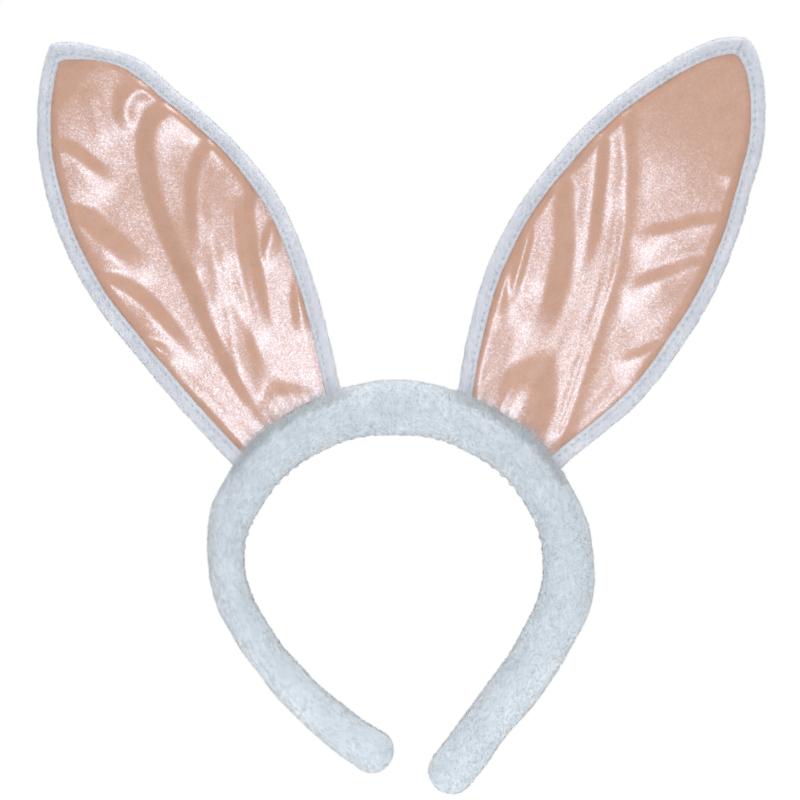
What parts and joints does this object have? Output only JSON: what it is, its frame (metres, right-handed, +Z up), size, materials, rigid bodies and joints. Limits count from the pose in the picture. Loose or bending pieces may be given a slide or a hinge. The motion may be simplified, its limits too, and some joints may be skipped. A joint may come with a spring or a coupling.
{
  "type": "animal ears headband",
  "caption": "Padded plush headband of open horseshoe shape with upright, satin-fronted, leaf-shaped ears that tilt on its crown; its springy arms open to grip a head.",
  "frame": {"origin": "middle of the crown's inner face, where the band sits on the head", "axes": "+X to the right of someone who faces the ears, -Y the satin side, +Z up as worn"},
  "size_m": [0.3035, 0.025, 0.3151],
  "materials": {
    "plush": "matte",
    "satin": "satin",
    "thread": "satin",
    "wadding": "matte",
    "interlining": "matte",
    "core_strip": "matte",
    "edge_wire": "satin"
  },
  "bodies": {
    "crown": {"band_core_crown": "core_strip", "band_padding_crown": "wadding", "band_cover_crown": "plush", "band_seam_crown": "thread"},
    "left_arm": {"band_core_left": "core_strip", "band_padding_left": "wadding", "band_cover_left": "plush", "band_seam_left": "thread"},
    "right_arm": {"band_core_right": "core_strip", "band_padding_right": "wadding", "band_cover_right": "plush", "band_seam_right": "thread"},
    "left_ear": {"left_ear_satin": "satin", "left_ear_interlining": "interlining", "left_ear_back": "plush", "left_ear_binding": "plush", "left_ear_wire": "edge_wire", "left_ear_topstitch": "thread", "left_ear_base_stitches": "thread"},
    "right_ear": {"right_ear_satin": "satin", "right_ear_interlining": "interlining", "right_ear_back": "plush", "right_ear_binding": "plush", "right_ear_wire": "edge_wire", "right_ear_topstitch": "thread", "right_ear_base_stitches": "thread"}
  },
  "joints": [
    {"name": "left_arm_flex", "type": "hinge", "parent": "crown", "child": "left_arm", "pos_m": [-0.06651, 0, -0.03006], "axis": [0, 1, 0], "range_deg": [-3, 18], "stiffness_Nm_per_rad": 1.1},
    {"name": "right_arm_flex", "type": "hinge", "parent": "crown", "child": "right_arm", "pos_m": [0.06651, 0, -0.03006], "axis": [0, -1, 0], "range_deg": [-3, 18], "stiffness_Nm_per_rad": 1.1},
    {"name": "left_ear_tilt", "type": "hinge", "parent": "crown", "child": "left_ear", "pos_m": [-0.04602, 0, 0.0126], "axis": [0.8526, 0, 0.5225], "range_deg": [-45, 45]},
    {"name": "right_ear_tilt", "type": "hinge", "parent": "crown", "child": "right_ear", "pos_m": [0.04602, 0, 0.0126], "axis": [0.8526, 0, -0.5225], "range_deg": [-45, 45]}
  ]
}
